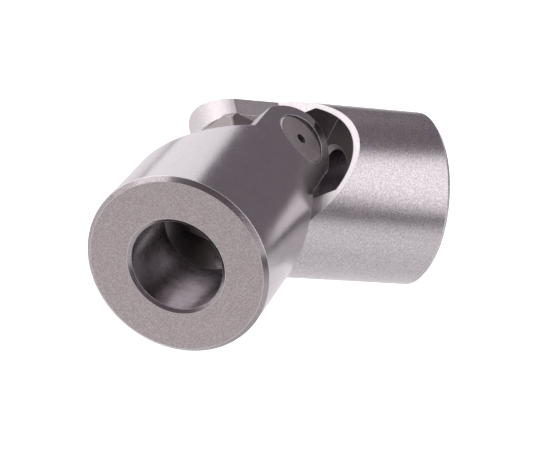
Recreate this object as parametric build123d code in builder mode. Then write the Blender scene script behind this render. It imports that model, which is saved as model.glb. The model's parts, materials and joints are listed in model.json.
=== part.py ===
from build123d import *
from math import acos, asin, cos, radians, sin, sqrt, tan
import os

# Single universal joint with plain bearings: two forked hubs on a centre block.
# The origin is the middle of the front hub's end face, at the mouth of its bore.
# -Y points out of the front bore, +Z is up, and both hub axes lie in the XY plane.

# Hubs
outer_diameter = 32.0
bore_diameter = 16.0
centre_to_end = 34.0        # joint centre to a hub's end face
bore_length = 16.8          # end face to the floor of the fork pocket
rim_chamfer = 0.8
mouth_diameter = 17.3       # countersink at the bore's mouth
mouth_depth = 0.5
inner_mouth_chamfer = 0.8   # where the bore opens into the pocket

# Forks
ear_width = 15.3
ear_reach = 7.3             # joint centre to the ear's tip
ear_tip_radius = 8.0
slot_width = 19.0           # between the inner faces of the two ears
pocket_diameter = 30.4
flank_start = 7.0           # where the ear's straight side turns into the sloping flank
flank_angle = 40.5          # flank to hub axis
ear_inner_chamfer = 0.8

# Centre block and pins
block_width = 16.4           # along both pin axes, before the thrust seats
block_depth = 17.8           # square to both pins
block_edge_chamfer = 0.3
block_corner_diameter = 27.0  # the eight corners are turned off to a sphere
seat_diameter = 13.0        # raised thrust seats round the block's four bore mouths
seat_gap = 0.1              # seat to the inner face of the ear it runs against
pin_diameter = 10.0
pin_length = 30.8           # the ends sit a little below the hubs' outer diameter
pin_end_chamfer = 0.3
running_clearance = 0.04    # radial, pin in the fork's ear
rivet_diameter = 2.5
rivet_head_diameter = 3.6
rivet_head_depth = 0.6
centre_mark_diameter = 1.8
centre_mark_depth = 1.2

# Rest pose: how far each fork is swung about its own pin, 0 is a straight joint
front_swing = 51.2
rear_swing = 25.6

os.makedirs("parts", exist_ok=True)

# The two swings add up to one bend in the XY plane once the pins are tilted about the hubs.
total_bend = acos(cos(radians(front_swing)) * cos(radians(rear_swing)))
front_pin_tilt = asin(sin(radians(rear_swing)) / sin(total_bend))

joint_centre = Vector(0, centre_to_end, 0)
front_axis = Vector(0, -1, 0)
rear_axis = Vector(sin(total_bend), cos(total_bend), 0)
front_pin_axis = Vector(sin(front_pin_tilt), 0, cos(front_pin_tilt))
rear_pin_axis = front_pin_axis.cross(rear_axis).normalized()

# Each fork has a frame at the joint centre: Z out along its hub, X along its pin.
front_frame = Plane(joint_centre, x_dir=front_pin_axis, z_dir=front_axis)
rear_frame = Plane(joint_centre, x_dir=rear_pin_axis, z_dir=rear_axis)

# Planes square to each pin at the joint centre.
front_pin_plane = Plane(joint_centre, x_dir=rear_pin_axis, z_dir=front_pin_axis)
rear_pin_plane = Plane(joint_centre, x_dir=front_pin_axis, z_dir=rear_pin_axis)


def make_yoke(frame):
    """Forked hub: turned blank, flanks milled along the pin, pocket, bore and pin holes."""
    outer_radius = outer_diameter / 2
    ear_half = ear_width / 2
    beyond = outer_radius + 1
    flank_end = flank_start + (beyond - ear_half) / tan(radians(flank_angle))
    tip_centre = ear_tip_radius - ear_reach
    tip_start = tip_centre - sqrt(ear_tip_radius**2 - ear_half**2)
    inset_half = ear_half - ear_inner_chamfer
    pocket_floor = centre_to_end - bore_length
    lengthways = Plane(frame.origin, x_dir=frame.y_dir, z_dir=frame.x_dir)
    hub_axis = Axis(frame.origin, frame.z_dir)
    with BuildPart() as yoke:
        with BuildSketch(frame.offset(-outer_radius)):
            Circle(outer_radius)
        extrude(amount=centre_to_end + outer_radius)
        chamfer(yoke.edges().group_by(hub_axis)[-1], rim_chamfer)
        with BuildSketch(lengthways):
            with BuildLine():
                Polyline(
                    (ear_half, tip_start),
                    (ear_half, flank_start),
                    (beyond, flank_end),
                    (beyond, centre_to_end + 1),
                    (-beyond, centre_to_end + 1),
                    (-beyond, flank_end),
                    (-ear_half, flank_start),
                    (-ear_half, tip_start),
                )
                ThreePointArc((-ear_half, tip_start), (0, -ear_reach), (ear_half, tip_start))
            make_face()
        extrude(amount=beyond, both=True, mode=Mode.INTERSECT)
        with BuildSketch(frame.offset(pocket_floor)):
            Circle(pocket_diameter / 2)
            Rectangle(slot_width, outer_diameter, mode=Mode.INTERSECT)
        extrude(amount=-pocket_floor - outer_radius, mode=Mode.SUBTRACT)
        for side in (1, -1):
            inner_face = slot_width / 2
            for edge in (1, -1):
                with BuildSketch(frame.offset(flank_start)):
                    with BuildLine():
                        Polyline(
                            (side * (inner_face - 1), edge * (inset_half - 1)),
                            (side * (inner_face - 1), edge * (ear_half + 1)),
                            (side * (inner_face + ear_inner_chamfer + 1), edge * (ear_half + 1)),
                            close=True,
                        )
                    make_face()
                extrude(amount=-flank_start - outer_radius, mode=Mode.SUBTRACT)
            with BuildSketch(frame.offset(tip_centre)):
                with BuildLine():
                    Polyline(
                        (side * (inner_face - 1), ear_tip_radius - ear_inner_chamfer - 1),
                        (side * (inner_face - 1), ear_tip_radius + 1),
                        (side * (inner_face + ear_inner_chamfer + 1), ear_tip_radius + 1),
                        close=True,
                    )
                make_face()
            tip_axis = Axis(frame.offset(tip_centre).origin, -frame.x_dir)
            revolve(axis=tip_axis, revolution_arc=180, mode=Mode.SUBTRACT)
        with BuildSketch(lengthways):
            with BuildLine():
                Polyline(
                    (0, pocket_floor),
                    (bore_diameter / 2 + inner_mouth_chamfer, pocket_floor),
                    (bore_diameter / 2, pocket_floor + inner_mouth_chamfer),
                    (bore_diameter / 2, centre_to_end - mouth_depth),
                    (mouth_diameter / 2, centre_to_end),
                    (0, centre_to_end),
                    close=True,
                )
            make_face()
        revolve(axis=hub_axis, mode=Mode.SUBTRACT)
        with BuildSketch(lengthways):
            Circle(pin_diameter / 2 + running_clearance)
        extrude(amount=beyond, both=True, mode=Mode.SUBTRACT)
    return yoke


front_yoke = make_yoke(front_frame)
front_yoke.part.label = "front_yoke"
export_step(front_yoke.part, "parts/front_yoke.step")

rear_yoke = make_yoke(rear_frame)
rear_yoke.part.label = "rear_yoke"
export_step(rear_yoke.part, "parts/rear_yoke.step")

# Centre block: nearly a cube, with its corners turned off, bored through along both pin axes, with a
# thrust seat round each bore mouth.
with BuildPart() as centre_block:
    with BuildSketch(front_pin_plane):
        Rectangle(block_width, block_depth)
    extrude(amount=block_width / 2, both=True)
    chamfer(centre_block.edges(), block_edge_chamfer)
    with Locations(joint_centre):
        Sphere(block_corner_diameter / 2, mode=Mode.INTERSECT)
    for pin_plane in (front_pin_plane, rear_pin_plane):
        with BuildSketch(pin_plane):
            Circle(seat_diameter / 2)
        extrude(amount=slot_width / 2 - seat_gap, both=True)
    for pin_plane in (front_pin_plane, rear_pin_plane):
        with BuildSketch(pin_plane):
            Circle(pin_diameter / 2)
        extrude(amount=slot_width, both=True, mode=Mode.SUBTRACT)
centre_block.part.label = "centre_block"
export_step(centre_block.part, "parts/centre_block.step")

# Long pin through the front fork, cross-drilled in the middle for the rivet and with a
# lathe centre mark in each end.
with BuildPart() as long_pin:
    with BuildSketch(front_pin_plane):
        Circle(pin_diameter / 2)
    extrude(amount=pin_length / 2, both=True)
    chamfer(long_pin.edges(), pin_end_chamfer)
    with BuildSketch(rear_pin_plane):
        Circle(rivet_diameter / 2)
    extrude(amount=pin_diameter, both=True, mode=Mode.SUBTRACT)
    for end in (1, -1):
        with BuildSketch(front_pin_plane.offset(end * pin_length / 2)):
            Circle(centre_mark_diameter / 2)
        extrude(amount=-end * centre_mark_depth, taper=20, mode=Mode.SUBTRACT)
long_pin.part.label = "long_pin"
export_step(long_pin.part, "parts/long_pin.step")


def make_short_pin(end):
    """Half-length pin from the long pin out to one ear of the rear fork (end is 1 or -1)."""
    with BuildPart() as pin:
        with BuildSketch(rear_pin_plane.offset(end * pin_length / 2)):
            Circle(pin_diameter / 2)
        extrude(amount=-end * pin_length / 2)
        chamfer(pin.edges().sort_by(Axis(joint_centre, rear_pin_axis * end))[-1], pin_end_chamfer)
        with BuildSketch(front_pin_plane):
            Circle(pin_diameter / 2)
        extrude(amount=pin_diameter, both=True, mode=Mode.SUBTRACT)
        with BuildSketch(rear_pin_plane):
            Circle(rivet_diameter / 2)
        extrude(amount=end * pin_length, mode=Mode.SUBTRACT)
        with BuildSketch(rear_pin_plane.offset(end * (pin_length / 2 - rivet_head_depth))):
            Circle(rivet_head_diameter / 2)
        extrude(amount=end * pin_length, mode=Mode.SUBTRACT)
    return pin


upper_short_pin = make_short_pin(1)
upper_short_pin.part.label = "upper_short_pin"
export_step(upper_short_pin.part, "parts/upper_short_pin.step")

lower_short_pin = make_short_pin(-1)
lower_short_pin.part.label = "lower_short_pin"
export_step(lower_short_pin.part, "parts/lower_short_pin.step")

# Rivet that locks the three pins to each other, its ends closed into the short pins' sinks.
with BuildPart() as lock_rivet:
    with BuildSketch(rear_pin_plane):
        Circle(rivet_diameter / 2)
    extrude(amount=pin_length / 2, both=True)
    for end in (1, -1):
        with BuildSketch(rear_pin_plane.offset(end * (pin_length / 2 - rivet_head_depth))):
            Circle(rivet_head_diameter / 2)
        extrude(amount=end * rivet_head_depth)
lock_rivet.part.label = "lock_rivet"
export_step(lock_rivet.part, "parts/lock_rivet.step")
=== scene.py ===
import json
import math

import bpy
import numpy as np
from mathutils import Matrix, Vector


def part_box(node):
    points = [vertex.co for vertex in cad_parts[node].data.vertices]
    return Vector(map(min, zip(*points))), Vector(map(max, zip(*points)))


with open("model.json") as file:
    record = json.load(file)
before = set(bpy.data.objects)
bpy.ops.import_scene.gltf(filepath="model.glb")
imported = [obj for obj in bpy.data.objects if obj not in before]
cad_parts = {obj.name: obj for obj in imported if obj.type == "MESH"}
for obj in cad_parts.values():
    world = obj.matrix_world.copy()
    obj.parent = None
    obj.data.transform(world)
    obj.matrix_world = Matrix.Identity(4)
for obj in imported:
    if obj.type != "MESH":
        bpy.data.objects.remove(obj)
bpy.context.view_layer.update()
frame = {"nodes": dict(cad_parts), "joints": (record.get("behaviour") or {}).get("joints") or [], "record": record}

# Table and lights: a white table top in a dim room, a broad soft light and a lamp on the left, and
# one light above on the right. The metal mirrors them all, so their edges draw the bands on the hubs.
# The joint hangs over the table, with just the room that the rear hub needs to swing down.
joint_centre = Vector(frame["joints"][0]["pos_m"])
swing_room = 0.0196
table_height = min(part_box("front_yoke")[0].z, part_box("rear_yoke")[0].z) - swing_room


def direction(azimuth, elevation):
    """Unit vector: azimuth is turned from +Y towards +X, elevation up from level, in degrees."""
    a, e = math.radians(azimuth), math.radians(elevation)
    return Vector((math.sin(a) * math.cos(e), math.cos(a) * math.cos(e), math.sin(e)))


def soft_light(name, azimuth, elevation, distance, width, height, radiance, tint):
    """A rectangular light of even radiance, facing the joint's centre."""
    light = bpy.data.lights.new(name, "AREA")
    light.shape = "RECTANGLE"
    light.size = width
    light.size_y = height
    light.energy = radiance * math.pi * width * height
    light.color = tint
    lamp = bpy.data.objects.new(name, light)
    towards = direction(azimuth, elevation)
    lamp.location = joint_centre + distance * towards
    lamp.rotation_euler = towards.to_track_quat("Z", "Y").to_euler()
    lamp.visible_camera = False
    bpy.context.scene.collection.objects.link(lamp)


soft_light("left_window", -70, 26, 0.7, 1.5, 0.95, 1.0, (1.0, 0.98, 1.0))
soft_light("left_lamp", -95, 46, 0.62, 0.5, 0.62, 0.64, (1.0, 0.99, 1.0))
soft_light("right_window", 90, 37, 0.7, 0.78, 0.776, 1.22, (1.0, 0.98, 1.0))

world = bpy.data.worlds.new("dim_room")
bpy.context.scene.world = world
world.use_nodes = True
world_nodes, world_links = world.node_tree.nodes, world.node_tree.links
world_nodes.clear()
room = world_nodes.new("ShaderNodeBackground")
room.inputs["Color"].default_value = (1.0, 0.86, 0.97, 1)
room.inputs["Strength"].default_value = 0.205
backdrop = world_nodes.new("ShaderNodeBackground")
backdrop.inputs["Color"].default_value = (1, 1, 1, 1)
backdrop.inputs["Strength"].default_value = 1.15
eye = world_nodes.new("ShaderNodeLightPath")
either = world_nodes.new("ShaderNodeMixShader")
world_out = world_nodes.new("ShaderNodeOutputWorld")
world_links.new(eye.outputs["Is Camera Ray"], either.inputs[0])
world_links.new(room.outputs[0], either.inputs[1])
world_links.new(backdrop.outputs[0], either.inputs[2])
world_links.new(either.outputs[0], world_out.inputs["Surface"])


def table_top(name, radius, rings, spokes):
    """Flat disc on a polar grid: point = (r cos t, r sin t, table height), closed at the middle."""
    r = np.linspace(0, radius, rings)[1:]
    t = np.linspace(0, 2 * math.pi, spokes, endpoint=False)
    rr, tt = np.meshgrid(r, t, indexing="ij")
    xyz = np.stack([rr * np.cos(tt), rr * np.sin(tt), np.full_like(rr, table_height)], -1)
    points = np.vstack([[[0, 0, table_height]], xyz.reshape(-1, 3)])
    k = np.arange(spokes)
    nxt = (k + 1) % spokes
    fan = np.stack([np.zeros_like(k), 1 + k, 1 + nxt], -1)
    start = 1 + spokes * np.arange(rings - 2)[:, None]
    quads = np.stack([start + k, start + spokes + k, start + spokes + nxt, start + nxt], -1)
    mesh = bpy.data.meshes.new(name)
    mesh.from_pydata(points.tolist(), [], fan.tolist() + quads.reshape(-1, 4).tolist())
    disc = bpy.data.objects.new(name, mesh)
    bpy.context.scene.collection.objects.link(disc)
    return disc


table = table_top("table", 6.0, 14, 48)
table_paint = bpy.data.materials.new("table_white")
table_paint.use_nodes = True
table_nodes, table_links = table_paint.node_tree.nodes, table_paint.node_tree.links
table_shader = table_nodes["Principled BSDF"]
table_shader.inputs["Roughness"].default_value = 0.9
table_shader.inputs["Specular IOR Level"].default_value = 0.1
table_shader.inputs["Emission Color"].default_value = (1, 1, 1, 1)
# The table glows, painted light standing in for light from below. For what the metal mirrors it is a painted pool
# of light, fading past its lit middle to the dim room, and it stays white where it is looked at directly.
table_place = table_nodes.new("ShaderNodeTexCoord")
table_reach = table_nodes.new("ShaderNodeVectorMath")
table_reach.operation = "DISTANCE"
table_reach.inputs[1].default_value = (-0.12, 0, table_height)
lit_radius, dim_radius, dim_share = 0.18, 0.60, 0.42
lit_share = table_nodes.new("ShaderNodeMapRange")
lit_share.interpolation_type = "SMOOTHSTEP"
for socket, value in zip(lit_share.inputs[1:5], (lit_radius, dim_radius, 1.0, dim_share)):
    socket.default_value = value
table_eye = table_nodes.new("ShaderNodeLightPath")
table_tone = table_nodes.new("ShaderNodeMath")
table_tone.operation = "MAXIMUM"
# Painted light: the table's glow, stronger where it is looked at directly, weaker in the painted pool that the
# metal mirrors.
glow = table_nodes.new("ShaderNodeMath")
glow.operation = "MULTIPLY_ADD"
glow.inputs[2].default_value = 0.0
glow_mirrored, glow_seen = 0.22, 0.70
glow_level = table_nodes.new("ShaderNodeMapRange")
for socket, value in zip(glow_level.inputs[1:5], (0.0, 1.0, glow_mirrored, glow_seen)):
    socket.default_value = value
table_links.new(table_place.outputs["Object"], table_reach.inputs[0])
table_links.new(table_reach.outputs["Value"], lit_share.inputs["Value"])
table_links.new(lit_share.outputs[0], table_tone.inputs[0])
table_links.new(table_eye.outputs["Is Camera Ray"], table_tone.inputs[1])
table_links.new(table_eye.outputs["Is Camera Ray"], glow_level.inputs["Value"])
table_links.new(table_tone.outputs[0], glow.inputs[0])
table_links.new(glow_level.outputs[0], glow.inputs[1])
table_links.new(table_tone.outputs[0], table_shader.inputs["Base Color"])
table_links.new(glow.outputs[0], table_shader.inputs["Emission Strength"])
table.data.materials.append(table_paint)

# Camera: a long lens, raised and a little to the right of the front hub's axis.
camera_data = bpy.data.cameras.new("camera")
camera_data.lens = 128.73
camera_data.sensor_width = 36
camera_data.clip_start = 0.01
camera = bpy.data.objects.new("camera", camera_data)
bpy.context.scene.collection.objects.link(camera)
camera_back = Vector((0.16185, -0.85832, 0.48691)).normalized()
camera_up = Vector((-0.35515, 0.40970, 0.84025))
camera_right = camera_up.cross(camera_back).normalized()
camera_up = camera_back.cross(camera_right)
camera_turn = Matrix((camera_right, camera_up, camera_back)).transposed().to_4x4()
camera_place = joint_centre + Vector((0.06327, -0.29909, 0.16421))
camera.matrix_world = Matrix.Translation(camera_place) @ camera_turn
bpy.context.scene.camera = camera
bpy.context.scene.view_settings.view_transform = "Standard"

# Forked hubs: free-cutting steel bar, turned and bored on the lathe, its fork milled afterwards.
# The outside is ground to a satin, coarser on the rear hub. The end face has a fine matt grain. The bore,
# the pocket and the pin holes are painted darker as shade in these hollows, the bore with darker streaks.
hub_radius = 0.016
rim_depth = 0.0008
end_distance = 0.034
bore_radius = 0.008
slot_half = 0.0095
pocket_floor = 0.0172
pocket_radius = 0.0152
pin_hole_radius = 0.00504
mounts = {mount["name"]: mount for mount in frame["record"]["mounts"]}
front_pin_axis, rear_pin_axis = (joint["axis"] for joint in frame["joints"][:2])


class Graph:
    """Small writer for a material's nodes: each method adds one node and returns its output."""

    def __init__(self, name):
        self.material = bpy.data.materials.new(name)
        self.material.use_nodes = True
        self.nodes = self.material.node_tree.nodes
        self.links = self.material.node_tree.links
        self.shader = self.nodes["Principled BSDF"]

    def feed(self, socket, value):
        if isinstance(value, bpy.types.NodeSocket):
            self.links.new(value, socket)
        else:
            socket.default_value = value

    def math(self, operation, *values):
        node = self.nodes.new("ShaderNodeMath")
        node.operation = operation
        for socket, value in zip(node.inputs, values):
            self.feed(socket, value)
        return node.outputs[0]

    def ramp(self, value, low, high, to_low=0.0, to_high=1.0):
        """Smooth step of value from low to high, scaled to to_low..to_high."""
        node = self.nodes.new("ShaderNodeMapRange")
        node.interpolation_type = "SMOOTHSTEP"
        for socket, v in zip(node.inputs, (value, low, high, to_low, to_high)):
            self.feed(socket, v)
        return node.outputs[0]

    def noise(self, vector, scale, detail=2.0, roughness=0.5):
        node = self.nodes.new("ShaderNodeTexNoise")
        self.links.new(vector, node.inputs["Vector"])
        node.inputs["Scale"].default_value = scale
        node.inputs["Detail"].default_value = detail
        node.inputs["Roughness"].default_value = roughness
        return node.outputs["Fac"]

    def vector(self, x, y, z):
        node = self.nodes.new("ShaderNodeCombineXYZ")
        for socket, value in zip(node.inputs, (x, y, z)):
            self.feed(socket, value)
        return node.outputs[0]

    def mix(self, share, a, b):
        node = self.nodes.new("ShaderNodeMix")
        node.data_type = "RGBA"
        self.feed(node.inputs["Factor"], share)
        self.feed(node.inputs["A"], a)
        self.feed(node.inputs["B"], b)
        return node.outputs["Result"]

    def blend(self, share, a, b):
        """a where share is 0, b where it is 1, for plain numbers."""
        return self.math("ADD", self.math("MULTIPLY", self.math("SUBTRACT", b, a), share), a)

    def length(self, a, b):
        """Square root of a squared plus b squared."""
        squares = (self.math("MULTIPLY", part, part) for part in (a, b))
        return self.math("SQRT", self.math("ADD", *squares))

    def streaks(self, parts, detail=2.0, roughness=0.6):
        """Noise whose grains are drawn out: parts are three pairs of a coordinate and its scale."""
        drawn_out = self.vector(*(self.math("MULTIPLY", *pair) for pair in parts))
        return self.noise(drawn_out, 1.0, detail, roughness)

    def lathe_frame(self, axis, side=None):
        """Position as (across, along, up), with the origin at the joint's centre and along on axis.
        side, square to axis, is the way that across points."""
        length = Vector(axis).normalized()
        width = Vector(side or length.orthogonal()).normalized()
        turn = Matrix((width, length, width.cross(length)))
        node = self.nodes.new("ShaderNodeMapping")
        node.vector_type = "POINT"
        node.inputs["Rotation"].default_value = turn.to_euler()
        node.inputs["Location"].default_value = -(turn @ joint_centre)
        place = self.nodes.new("ShaderNodeTexCoord")
        self.links.new(place.outputs["Object"], node.inputs["Vector"])
        parts = self.nodes.new("ShaderNodeSeparateXYZ")
        self.links.new(node.outputs[0], parts.inputs[0])
        return node.outputs[0], parts.outputs[0], parts.outputs[1], parts.outputs[2]

    def edge(self, radius):
        """Rounded normal, and a mask that is 1 on the object's sharp edges and 0 elsewhere."""
        rounded = self.nodes.new("ShaderNodeBevel")
        rounded.samples = 6
        rounded.inputs["Radius"].default_value = radius
        flat = self.nodes.new("ShaderNodeNewGeometry")
        agree = self.nodes.new("ShaderNodeVectorMath")
        agree.operation = "DOT_PRODUCT"
        self.links.new(rounded.outputs[0], agree.inputs[0])
        self.links.new(flat.outputs["Normal"], agree.inputs[1])
        return rounded.outputs[0], self.ramp(agree.outputs["Value"], 0.998, 0.965)

    def metal(self, colour, rough, relief, strength, depth, normal):
        """Joins up the shader as bare metal, with relief as a bump on the rounded normal."""
        node = self.nodes.new("ShaderNodeBump")
        node.inputs["Strength"].default_value = strength
        node.inputs["Distance"].default_value = depth
        self.links.new(relief, node.inputs["Height"])
        self.links.new(normal, node.inputs["Normal"])
        self.links.new(node.outputs[0], self.shader.inputs["Normal"])
        self.links.new(colour, self.shader.inputs["Base Color"])
        self.links.new(rough, self.shader.inputs["Roughness"])
        self.shader.inputs["Metallic"].default_value = 1.0
        return self.material


def finish(piece, material):
    """The CAD piece's one material."""
    mesh = frame["nodes"][piece].data
    mesh.materials.clear()
    mesh.materials.append(material)


def hub_steel(name, axis, pin_axis, grain):
    """Turned, ground and milled steel of one hub. grain is how coarse its outside is, 0 to 1."""
    g = Graph(name)
    place, across, along, up = g.lathe_frame(axis, pin_axis)
    radius = g.length(across, up)
    turn = g.math("ARCTAN2", across, up)
    on_outside = g.ramp(radius, hub_radius - 0.00009, hub_radius - 0.00005)
    on_face = g.ramp(along, end_distance - 0.00006, end_distance - 0.00003)
    rim_start = end_distance - rim_depth
    on_rim = g.ramp(along, rim_start - 0.0001, rim_start + 0.0001)
    in_bore = g.ramp(radius, bore_radius + 0.0001, bore_radius + 0.00005)
    in_slot = g.ramp(g.math("ABSOLUTE", across), slot_half + 0.00005, slot_half + 0.00001)
    past_floor = g.ramp(along, pocket_floor + 0.0009, pocket_floor + 0.0008)
    in_round = g.ramp(radius, pocket_radius + 0.00008, pocket_radius + 0.00003)
    in_pocket = g.math("MULTIPLY", g.math("MULTIPLY", in_slot, past_floor), in_round)
    in_hole = g.ramp(g.length(along, up), pin_hole_radius + 0.00005, pin_hole_radius + 0.00002)

    speckle = g.noise(place, 4200 - 900 * grain, 3, 0.7)
    mottle = g.noise(place, 420, 3, 0.6)
    rings = g.streaks(((turn, 1.2), (along, 7000), (radius, 7000)))
    milled = g.streaks(((across, 300), (along, 5200), (up, 300)))
    # Random streaks that darken the bore further, part of its painted shade.
    shade_streaks = g.streaks(((turn, 2.5), (along, 420), (0.0, 0.0)), 4, 0.75)

    light, dark = 0.59 - 0.05 * grain, 0.52 - 0.05 * grain
    outside = g.mix(
        mottle, (dark, dark - 0.028, dark - 0.007, 1), (light, light - 0.025, light - 0.012, 1)
    )
    face = g.mix(mottle, (0.35, 0.305, 0.298, 1), (0.43, 0.380, 0.370, 1))
    fork = g.mix(mottle, (0.59, 0.56, 0.565, 1), (0.70, 0.67, 0.67, 1))
    # The end chamfer is painted darker than the outside: a painted dark reflection of the dim room.
    rim = g.mix(mottle, (0.30, 0.27, 0.28, 1), (0.38, 0.35, 0.355, 1))
    # The bore and the pocket are painted darker than the outside: painted shade in these hollows.
    bore = g.mix(mottle, (0.28, 0.24, 0.265, 1), (0.37, 0.33, 0.36, 1))
    bore = g.mix(g.ramp(shade_streaks, 0.42, 0.64, 0.0, 0.35), bore, (0.12, 0.10, 0.11, 1))
    pocket = g.mix(mottle, (0.29, 0.26, 0.265, 1), (0.40, 0.365, 0.37, 1))
    colour = g.mix(on_rim, fork, rim)
    colour = g.mix(on_outside, colour, outside)
    colour = g.mix(on_face, colour, face)
    colour = g.mix(in_pocket, colour, pocket)
    colour = g.mix(in_bore, colour, bore)
    # Painted shade: the walls of the ears' pin holes, in the gap round the pins, are painted near black.
    colour = g.mix(in_hole, colour, (0.13, 0.11, 0.11, 1))
    specks = g.ramp(speckle, 0.38, 0.66)
    shown = g.math("SUBTRACT", 1.0, g.math("MAXIMUM", in_pocket, in_bore))
    shine = g.math("MULTIPLY", g.blend(on_face, 0.18 + 0.60 * grain, 0.46), shown)
    colour = g.mix(g.math("MULTIPLY", specks, shine), colour, (0.79, 0.75, 0.76, 1))
    normal, edge = g.edge(0.00016)
    # Painted highlight: the sharp edges are painted near white, for the thin bright lines they catch.
    colour = g.mix(g.math("MULTIPLY", edge, 0.9), colour, (0.96, 0.94, 0.93, 1))

    rough = g.blend(on_rim, 0.44, 0.19)
    rough = g.blend(on_outside, rough, 0.16 + 0.10 * grain)
    rough = g.blend(on_face, rough, 0.46)
    rough = g.blend(in_bore, rough, 0.28)
    rough = g.math("ADD", rough, g.math("MULTIPLY", g.math("SUBTRACT", mottle, 0.5), 0.12))
    rough = g.math("MAXIMUM", g.blend(edge, rough, 0.6), 0.08)

    relief = g.blend(on_rim, g.blend(0.45, milled, speckle), rings)
    relief = g.blend(on_outside, relief, g.blend(0.35 + 0.35 * grain, rings, speckle))
    relief = g.blend(on_face, relief, g.blend(0.75, rings, speckle))
    relief = g.blend(in_bore, relief, g.blend(0.5, rings, speckle))
    return g.metal(colour, rough, relief, 0.5 + 0.4 * grain, 0.0000065, normal)


finish("front_yoke", hub_steel("front_yoke_steel", mounts["front_bore"]["axis"], front_pin_axis, 0.15))
finish("rear_yoke", hub_steel("rear_yoke_steel", mounts["rear_bore"]["axis"], rear_pin_axis, 1.0))

# Centre block: nearly a cube, of hardened and ground steel, its corners turned off. It is oiled,
# browner and darker than the hubs, and only a corner of it shows between the ears.


def block_steel(name):
    """Hardened steel, ground flat: faint grinding lines, a brown tint and oil."""
    g = Graph(name)
    place, across, along, up = g.lathe_frame(front_pin_axis)
    lines = g.streaks(((across, 6500), (along, 250), (up, 250)))
    tint = g.noise(place, 260, 3, 0.6)
    colour = g.mix(tint, (0.34, 0.30, 0.295, 1), (0.44, 0.40, 0.39, 1))
    normal, edge = g.edge(0.00012)
    # Painted highlight: the block's sharp edges are painted lighter.
    colour = g.mix(g.math("MULTIPLY", edge, 0.8), colour, (0.70, 0.67, 0.64, 1))
    return g.metal(colour, g.blend(tint, 0.30, 0.46), lines, 0.5, 0.000004, normal)


finish("centre_block", block_steel("centre_block_steel"))

# Pins: hardened bearing steel, ground on the outside, with the lathe's rings left on their ends
# and a centre mark in the long one. The short pins meet the long one inside the block.
mark_radius = 0.0009


def pin_steel(name, axis):
    """Ground steel round the pin, fine turned rings and a warm tint on its end."""
    g = Graph(name)
    place, across, along, up = g.lathe_frame(axis)
    radius = g.length(across, up)
    rings = g.streaks(((0.0, 0.0), (along, 9000), (radius, 6500)))
    tint = g.noise(place, 500, 3, 0.6)
    speckle = g.noise(place, 4200, 3, 0.6)
    colour = g.mix(tint, (0.45, 0.41, 0.41, 1), (0.60, 0.56, 0.555, 1))
    specks = g.ramp(speckle, 0.45, 0.7)
    colour = g.mix(g.math("MULTIPLY", specks, 0.35), colour, (0.74, 0.70, 0.67, 1))
    normal, edge = g.edge(0.00004)
    # Painted highlight: a faint lighter line on the pins' sharp edges.
    colour = g.mix(g.math("MULTIPLY", edge, 0.15), colour, (0.75, 0.72, 0.68, 1))
    # Painted shade: the hollow of the centre mark is painted near black.
    in_mark = g.ramp(radius, mark_radius + 0.00012, mark_radius)
    colour = g.mix(in_mark, colour, (0.10, 0.085, 0.08, 1))
    relief = g.blend(0.4, rings, speckle)
    return g.metal(colour, g.blend(tint, 0.38, 0.52), relief, 0.6, 0.000006, normal)


pin_axes = {
    "long_pin": front_pin_axis,
    "upper_short_pin": rear_pin_axis,
    "lower_short_pin": rear_pin_axis,
}
for pin, axis in pin_axes.items():
    finish(pin, pin_steel(pin + "_steel", axis))

# Lock rivet: soft steel wire through the three pins, its ends peened flush into the short pins.


def rivet_steel(name):
    """Soft bright steel with hammer dimples on its closed ends."""
    g = Graph(name)
    place = g.lathe_frame(rear_pin_axis)[0]
    dimples = g.noise(place, 1600, 2, 0.5)
    scuffs = g.noise(place, 5200, 3, 0.6)
    normal, edge = g.edge(0.0001)
    colour = g.mix(dimples, (0.40, 0.38, 0.36, 1), (0.58, 0.56, 0.54, 1))
    # Painted highlight: the rivet's sharp edges are painted lighter.
    colour = g.mix(g.math("MULTIPLY", edge, 0.7), colour, (0.78, 0.76, 0.73, 1))
    return g.metal(colour, g.blend(scuffs, 0.25, 0.42), dimples, 0.8, 0.00004, normal)


finish("lock_rivet", rivet_steel("lock_rivet_steel"))
